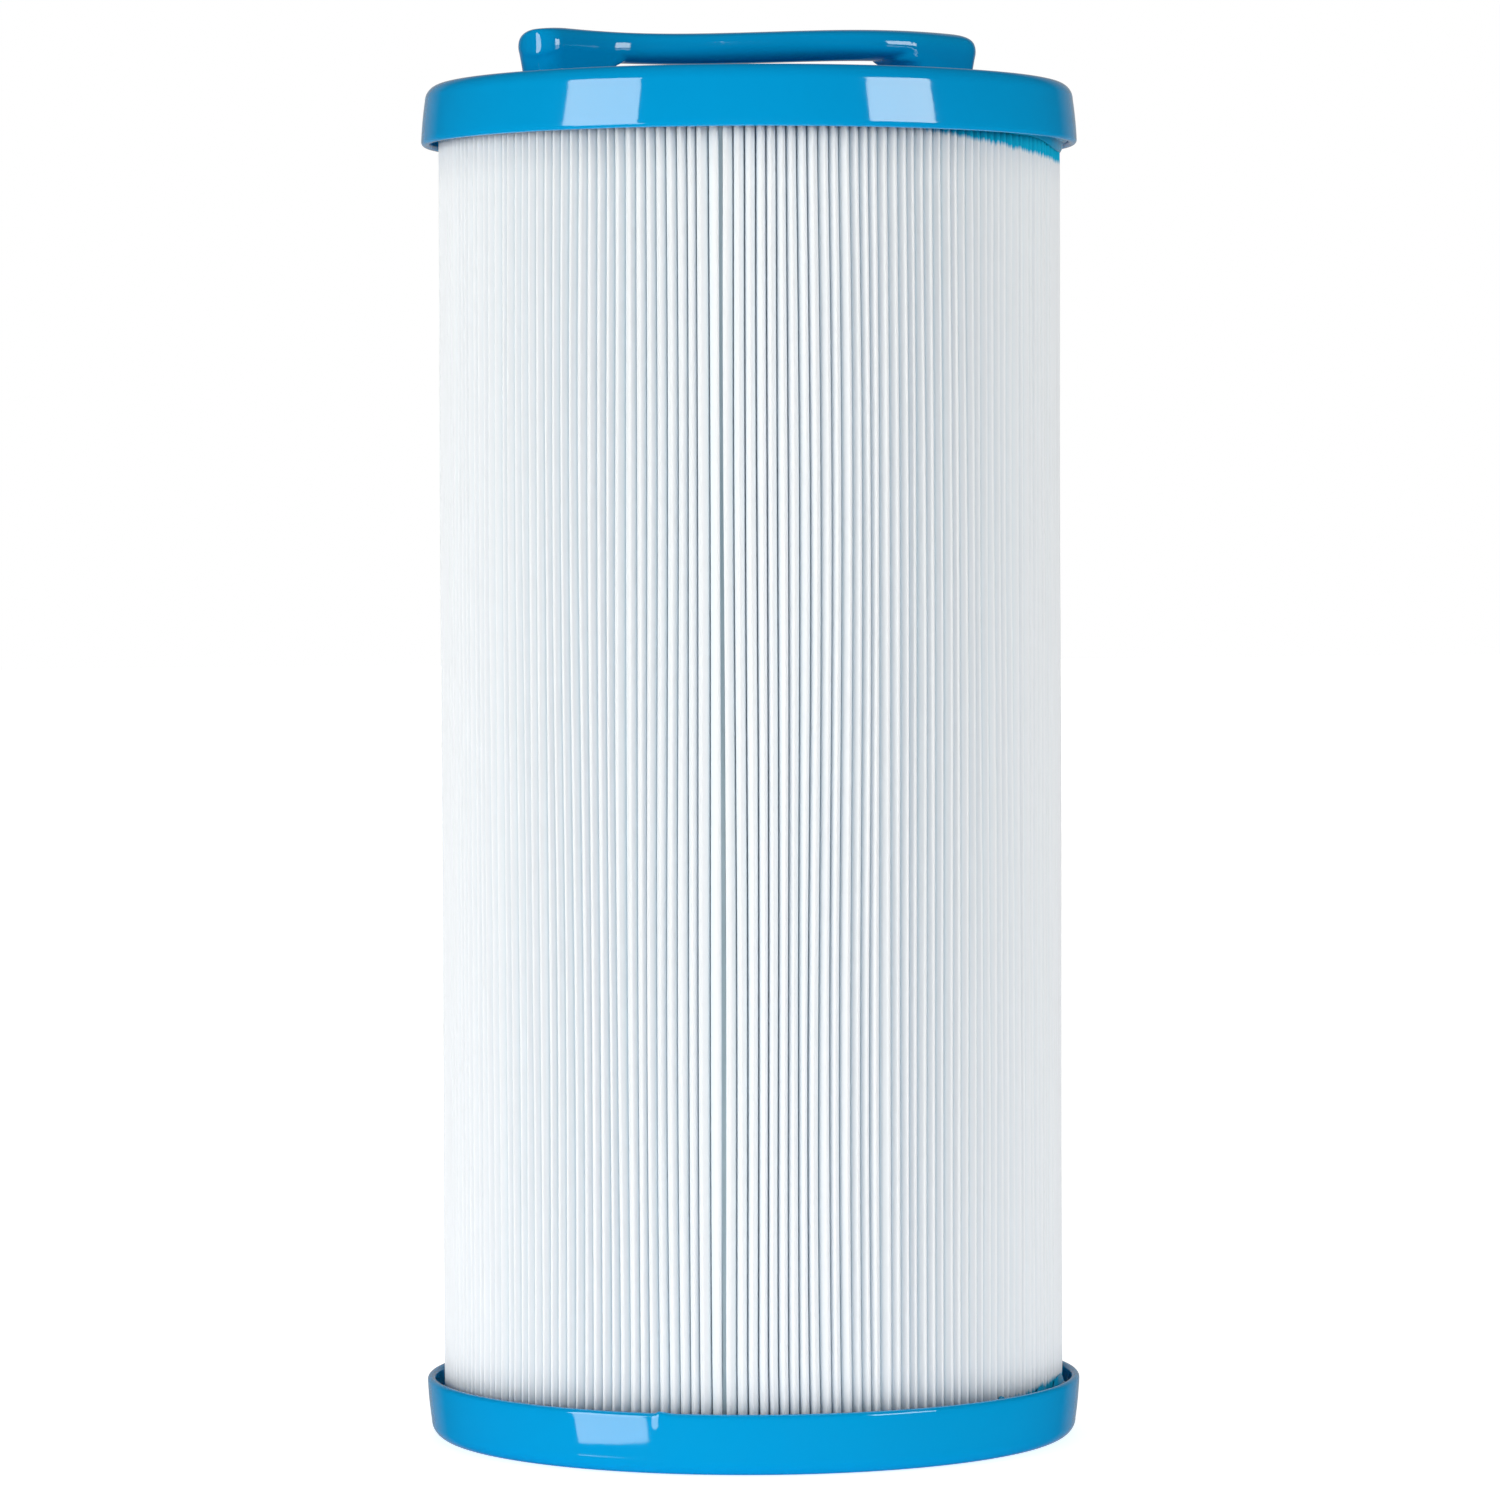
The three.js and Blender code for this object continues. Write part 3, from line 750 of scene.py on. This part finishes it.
    # the cut edge of the sheet at both ends: valley, flank, crest, flank, valley
    for level in (0, rows - 1):
        for fold in range(PLEATS):
            o = [out_first + (fold * per_out + k) * rows + level for k in range(per_out)]
            n = [in_first + (fold * per_in + k) * rows + level for k in range(per_in)]
            floor_before = out_first + (((fold - 1) % PLEATS) * per_out + last) * rows + level
            next_inner = in_first + (((fold + 1) % PLEATS) * per_in) * rows + level
            faces.append((floor_before, o[0], o[1], n[1], n[0]))
            faces.append((*o[1:deep + 2], n[2], n[1]))
            faces.append((*o[deep + 1:deep + 5], n[3], n[2]))
            faces.append((*o[deep + 4:last - 1], n[4], n[3]))
            faces.append((o[last - 2], o[last - 1], o[last], n[5], n[4]))
            faces.append((o[last], next_inner, n[5]))
    pack = add_mesh("pleat_pack", np.concatenate(verts), faces)
    return finish_piece(pack, MEDIA, "media", "pleated_media")


# ---------------------------------------------------------------- core

WINDOW_STEPS = 4
RIB_STEPS = 2


def core_cage(name, node):
    """A moulded cage section: upright ribs, hoops between the windows, rounded edges."""
    low, high = (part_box(node)[k].z / MM for k in (0, 1))
    outer = CORE_OUTER_R
    columns, hoop = CORE_COLUMNS, CORE_HOOP
    row_height = (high - low - hoop) / CORE_ROWS
    levels = [low]
    for row in range(CORE_ROWS):
        start = low + hoop / 2 + row * row_height + hoop / 2
        levels += [start, start + row_height - hoop]
    levels.append(high)
    angles = []
    solid = []
    for column in range(columns):
        centre = 2 * math.pi * (column + 0.5) / columns
        half = math.pi / columns * (1 - CORE_RIB_SHARE)
        for k in range(WINDOW_STEPS):
            angles.append(centre - half + 2 * half * k / WINDOW_STEPS)
            solid.append(False)
        for k in range(RIB_STEPS):
            angles.append(centre + half + (2 * math.pi / columns - 2 * half) * k / RIB_STEPS)
            solid.append(True)
    verts = [(outer * math.cos(a), outer * math.sin(a), z) for z in levels for a in angles]
    around = len(angles)
    faces = []
    for level in range(len(levels) - 1):
        window_row = level % 2 == 1
        for k in range(around):
            if window_row and not solid[k]:
                continue
            m = (k + 1) % around
            base = level * around
            faces.append((base + k, base + m, base + around + m, base + around + k))
    cage = add_mesh(name, verts, faces)
    thick = cage.modifiers.new("wall", "SOLIDIFY")
    thick.thickness = CORE_WALL * MM
    thick.offset = -1
    round_off = cage.modifiers.new("edges", "BEVEL")
    round_off.width = CORE_EDGE * MM
    round_off.segments = 2
    round_off.limit_method = "ANGLE"
    round_off.angle_limit = math.radians(40)
    apply_modifiers(cage)
    cage.data.polygons.foreach_set("use_smooth", [True] * len(cage.data.polygons))
    return finish_piece(cage, CORE, "core_plastic", node)


# ---------------------------------------------------------------- socket

SEAL_CORNER = 0.5
SEAL_BEAD_R = 0.8        # the lip's rounded edge
SEAL_BEAD_BELOW = 2.2    # from the seal's top face down to its middle
STOP_CORNER = 0.4
STOP_CHAMFER = 0.8


def seal_ring():
    """Rubber ring whose rounded lip grips what is pushed into the socket."""
    wall = SOCKET_BORE_R - FIT
    low, high = SOCKET_LIP + FIT, SEAL_TOP
    loop = [
        (SEAL_LIP_R + 1.2, low), (wall - SEAL_CORNER, low), (wall, low + SEAL_CORNER),
        (wall, high - SEAL_CORNER), (wall - SEAL_CORNER, high),
        (SEAL_LIP_R + 1.4, high), (SEAL_LIP_R + 0.9, high - 0.6),
    ]
    loop += arc(SEAL_LIP_R + SEAL_BEAD_R, high - SEAL_BEAD_BELOW, SEAL_BEAD_R, 130, 230, 6)
    loop += [(SEAL_LIP_R + 1.2, high - 4)]
    return finish_piece(revolve("lip_seal", loop, SMALL_STEPS), RUBBER, "seal_rubber", "seal_ring")


def stop_ring():
    """Rigid ring above the seal."""
    wall = SOCKET_BORE_R - FIT
    low, high = SEAL_TOP + FIT, SOCKET_HEIGHT
    loop = [
        (STOP_RING_R + STOP_CHAMFER, low), (wall - STOP_CORNER, low), (wall, low + STOP_CORNER),
        (wall, high - STOP_CORNER), (wall - STOP_CORNER, high),
        (STOP_RING_R + STOP_CORNER, high), (STOP_RING_R, high - STOP_CORNER),
        (STOP_RING_R, low + STOP_CHAMFER),
    ]
    return finish_piece(revolve("stop_collar", loop, SMALL_STEPS), CORE, "core_plastic", "stop_ring")


# ---------------------------------------------------------------- grip


def swing(s):
    """Sideways position of the grip's centreline."""
    slope = GRIP_WAVE * math.pi / GRIP_WAVE_END
    turn = np.clip(s / GRIP_WAVE_END, -1, 1)
    beyond = np.maximum(0, np.abs(s) - GRIP_WAVE_END)
    return -GRIP_WAVE * np.sin(math.pi * turn) + np.sign(s) * beyond * slope


def direction(s):
    """Unit vector along the centreline, seen from above."""
    rise = (swing(s + 0.01) - swing(s - 0.01)) / 0.02
    length = math.hypot(1, rise)
    return 1 / length, rise / length


def toward_end(s):
    """0 at the middle of the bar, easing to 1 where the ends begin."""
    t = min(1.0, abs(s) / (GRIP_END - GRIP_BLEND))
    return t * t * (3 - 2 * t)


def grip_width(s, side, outer_round=GRIP_OUTER_ROUND):
    """Width to one side of the centreline, looking along +X: 1 is the left and -1 the right."""
    end_width, rounding = GRIP_INNER_WIDTH, GRIP_INNER_ROUND
    if s * side < 0:
        end_width, rounding = GRIP_OUTER_WIDTH, outer_round
    full = GRIP_HALF_WIDTH + (end_width - GRIP_HALF_WIDTH) * toward_end(s)
    into = max(0.0, abs(s) - (GRIP_END - rounding)) / rounding
    return full * math.sqrt(max(0.0, 1 - into * into))


def grip_section(s, steps=64):
    """The bar's section at a station: two superellipse halves that meet at its widest level."""
    dx, dy = direction(s)
    shoulder = GRIP_SHOULDER + (GRIP_END_SHOULDER - GRIP_SHOULDER) * toward_end(s)
    past_blend = max(0.0, abs(s) - (GRIP_END - GRIP_BLEND)) / GRIP_BLEND
    top = HEIGHT + GRIP_TOP + GRIP_SADDLE * toward_end(s) - GRIP_DROOP * past_blend ** 2
    widest = top - shoulder
    under = HEIGHT + GRIP_TOP + GRIP_SADDLE * toward_end(s) - GRIP_DEPTH
    points = []
    for i in range(steps):
        a = 2 * math.pi * (i + 0.5) / steps
        c, d = math.cos(a), math.sin(a)
        width = max(grip_width(s, math.copysign(1, c)), GRIP_TIP_WIDTH)
        square = GRIP_SQUARE_ABOVE if d > 0 else GRIP_SQUARE_BELOW
        deep = shoulder if d > 0 else widest - under
        across = width * math.copysign(abs(c) ** square, c)
        rise = deep * math.copysign(abs(d) ** square, d)
        points.append((s - across * dy, swing(s) + across * dx, widest + rise))
    return points


def leg_outline(inset, z, side, outer_round):
    """A leg's outline at one level; its inner end spreads into a fillet under the bar."""
    climb = np.clip(z - (HEIGHT + GRIP_TOP - GRIP_DEPTH - LEG_FILLET), 0, LEG_FILLET)
    fillet = LEG_FILLET - math.sqrt(LEG_FILLET ** 2 - climb ** 2)
    low, high = LEG_START + inset - fillet, GRIP_END - inset
    # stations, closer together towards the tip
    shares = 1 - (1 - np.linspace(0, 0.995, LEG_STATIONS)) ** 1.6

    def edge(which):
        points = []
        for share in shares:
            s = float(low + (high - low) * share)
            dx, dy = direction(s)
            width = max(grip_width(s + inset, which, outer_round) - inset, LEG_TIP_WIDTH)
            corner = min(1.0, (s - low) / LEG_CORNER)
            width *= LEG_CORNER_WIDTH + (1 - LEG_CORNER_WIDTH) * math.sin(corner * math.pi / 2)
            across = which * width
            points.append((side * (s - across * dy), side * (swing(s) + across * dx), z))
        return points

    return edge(-1) + edge(1)[::-1]


def loft(name, rings):
    """A closed skin over a row of outlines with equal counts of points."""
    count = len(rings[0])
    verts = [p for ring in rings for p in ring]
    faces = []
    for r in range(len(rings) - 1):
        for i in range(count):
            a, b = r * count + i, r * count + (i + 1) % count
            faces.append((a, b, b + count, a + count))
    faces.append(tuple(range(count)))
    faces.append(tuple(range(len(verts) - count, len(verts))))
    return add_mesh(name, verts, faces)


def grip():
    """Bar and two legs, joined and rounded together as one moulding."""
    stations = -np.cos(np.linspace(0, math.pi, BAR_STATIONS)) * GRIP_END
    parts = [loft("grip_moulding", [grip_section(float(s)) for s in stations])]
    leg_top = HEIGHT + GRIP_TOP + GRIP_SADDLE - GRIP_END_SHOULDER - LEG_SINK
    for side in (1, -1):
        rings = []
        for share in np.linspace(0, 1, LEG_LEVELS):
            z = HEIGHT + LEG_LIFT + (leg_top - HEIGHT) * share
            foot = LEG_SPREAD * max(0.0, 1 - share / LEG_SPREAD_SHARE)
            rounding = LEG_FOOT_ROUND + (GRIP_OUTER_ROUND - LEG_FOOT_ROUND) * share
            rings.append(leg_outline(LEG_TAPER * (1 - share) - foot, z, side, rounding))
        parts.append(loft(f"leg_{side}", rings))
    moulding = parts[0]
    with bpy.context.temp_override(active_object=moulding, selected_editable_objects=parts):
        bpy.ops.object.join()
    remesh = moulding.modifiers.new("join", "REMESH")
    remesh.mode = "VOXEL"
    remesh.voxel_size = VOXEL * MM
    ease = moulding.modifiers.new("ease", "SMOOTH")
    ease.factor = 0.5
    ease.iterations = EASE_PASSES
    apply_modifiers(moulding)
    moulding.data.polygons.foreach_set("use_smooth", [True] * len(moulding.data.polygons))
    return finish_piece(moulding, CAP, "cap_plastic", "handle")


# ---------------------------------------------------------------- build

add_camera()
top_cap()
bottom_cap()
potting_ring("top_bond", BOWL_R + BOWL_WALL + FIT, "top_potting", True, TOP_BEADS)
potting_ring("bottom_bond", SOCKET_TUBE_R + FIT, "bottom_potting", False, BOTTOM_BEADS)
pleat_pack()
for level in ("upper", "middle", "lower"):
    core_cage(f"cage_{level}", f"core_{level}")
seal_ring()
stop_ring()
grip()
# the CAD seam strip gets the grey-blue painted shade of the groove at the seam
strip = frame["nodes"]["seam_strip"]
strip.data.materials.clear()
strip.data.materials.append(SEAM_SHADE_MATERIAL)

# ---------------------------------------------------------------- studio

AMBIENT = 0.13
FLOOR_BOUNCE = 0.58          # light that the floor near the object adds, unseen by the camera
FLOOR_HALF = 9000.0          # millimetres, like its level
FLOOR_LEVEL = -0.2
FLOOR_COLOUR = (0.88, 0.88, 0.88, 1)
FLOOR_GLOW = (0.72, 1.0)     # seen by the camera, near the object and away from it
GLOW_RANGE = (0.08, 0.6)     # metres from the axis between which that changes
BOUNCE_RANGE = (0.3, 1.0)    # the same for the bounce
FLOOR_BOUNCE_FAR = 0.05
WHITE = (1, 1, 1, 1)
LAMP_COLOUR = (1.0, 1.0, 0.93)
OVERHEAD_SIZE = 1.6
OVERHEAD_PLACE = (0, 0.2, 2.2)
MIRRORED = (0.02, 0.34)      # strength that reflections show, around and straight behind the object
MIRRORED_RANGE = (0.78, 0.98)    # cosines of the angle from straight behind between which that changes


def floor():
    """Pale floor, lifted to the backdrop's white away from the object."""
    material = bpy.data.materials.new("floor")
    material.use_nodes = True
    tree = material.node_tree
    shader = tree.nodes["Principled BSDF"]
    shader.inputs["Base Color"].default_value = FLOOR_COLOUR
    shader.inputs["Roughness"].default_value = 0.9
    shader.inputs["Specular IOR Level"].default_value = 0.1
    shader.inputs["Emission Color"].default_value = WHITE
    place = tree.nodes.new("ShaderNodeTexCoord")
    length = tree.nodes.new("ShaderNodeVectorMath")
    length.operation = "LENGTH"
    tree.links.new(place.outputs["Object"], length.inputs[0])
    away = length.outputs["Value"]
    seen = tree.nodes.new("ShaderNodeLightPath")
    strength = tree.nodes.new("ShaderNodeMix")
    tree.links.new(seen.outputs["Is Camera Ray"], strength.inputs["Factor"])
    bounce = map_range(tree, away, FLOOR_BOUNCE, FLOOR_BOUNCE_FAR, *BOUNCE_RANGE)
    tree.links.new(bounce, strength.inputs["A"])
    glow = map_range(tree, away, *FLOOR_GLOW, *GLOW_RANGE)
    tree.links.new(glow, strength.inputs["B"])
    tree.links.new(strength.outputs["Result"], shader.inputs["Emission Strength"])
    material.cycles.emission_sampling = "NONE"
    signs = ((-1, -1), (1, -1), (1, 1), (-1, 1))
    corners = [(x * FLOOR_HALF, y * FLOOR_HALF, FLOOR_LEVEL) for x, y in signs]
    plane = add_mesh("floor", corners, [(0, 1, 2, 3)], smooth=False)
    plane.data.materials.append(material)
    plane.visible_glossy = False


def softbox(name, bearing, distance, width, low, high, power):
    """An upright light panel facing the axis, in metres.

    The bearing is in degrees to the right of the camera's direction.
    """
    a = azimuth + math.radians(bearing)
    away = Vector((math.sin(a), -math.cos(a), 0))
    data = bpy.data.lights.new(name, "AREA")
    data.shape = "RECTANGLE"
    data.size = width
    data.size_y = high - low
    data.energy = power
    data.color = LAMP_COLOUR
    lamp = bpy.data.objects.new(name, data)
    bpy.context.scene.collection.objects.link(lamp)
    lamp.location = away * distance + up * ((low + high) / 2)
    lamp.rotation_mode = "QUATERNION"
    lamp.rotation_quaternion = away.to_track_quat("Z", "Y")
    lamp.visible_camera = False
    return lamp


def overhead(power):
    """A square panel above the object, left out of its reflections."""
    data = bpy.data.lights.new("overhead", "AREA")
    data.shape = "RECTANGLE"
    data.size = OVERHEAD_SIZE
    data.size_y = OVERHEAD_SIZE
    data.energy = power
    lamp = bpy.data.objects.new("overhead", data)
    bpy.context.scene.collection.objects.link(lamp)
    lamp.location = OVERHEAD_PLACE
    lamp.visible_camera = False
    lamp.visible_glossy = False


def world():
    """White wherever the camera looks; to reflections, dark but for a paler patch straight behind."""
    scene_world = bpy.data.worlds.new("world")
    bpy.context.scene.world = scene_world
    scene_world.use_nodes = True
    tree = scene_world.node_tree
    nodes, links = tree.nodes, tree.links
    place = nodes.new("ShaderNodeTexCoord")
    along = nodes.new("ShaderNodeVectorMath")
    along.operation = "DOT_PRODUCT"
    along.inputs[1].default_value = tuple(-back)
    links.new(place.outputs["Generated"], along.inputs[0])
    mirrored = map_range(tree, along.outputs["Value"], *MIRRORED, *MIRRORED_RANGE)
    path = nodes.new("ShaderNodeLightPath")
    strength = nodes.new("ShaderNodeMix")
    strength.inputs["A"].default_value = AMBIENT
    links.new(path.outputs["Is Glossy Ray"], strength.inputs["Factor"])
    links.new(mirrored, strength.inputs["B"])
    seen = nodes.new("ShaderNodeMix")
    seen.inputs["B"].default_value = 1.0
    links.new(path.outputs["Is Camera Ray"], seen.inputs["Factor"])
    links.new(strength.outputs["Result"], seen.inputs["A"])
    links.new(seen.outputs["Result"], nodes["Background"].inputs["Strength"])
    nodes["Background"].inputs["Color"].default_value = WHITE


floor()
softbox("left_softbox", bearing=-52, distance=1.5, width=0.75, low=0.0, high=0.91, power=13.6)
softbox("left_lower", bearing=-50.6, distance=1.5, width=0.73, low=-0.5, high=0.0, power=5.2)
softbox("right_softbox", bearing=54, distance=1.5, width=0.66, low=0.326, high=0.91, power=9.2)
fill = softbox("fill", bearing=3, distance=2.2, width=1.2, low=0.0, high=0.6, power=6.9)
fill.visible_glossy = False
overhead(power=9)
world()

scene = bpy.context.scene
scene.view_settings.view_transform = "Standard"
scene.cycles.max_bounces = 8
scene.cycles.diffuse_bounces = 6
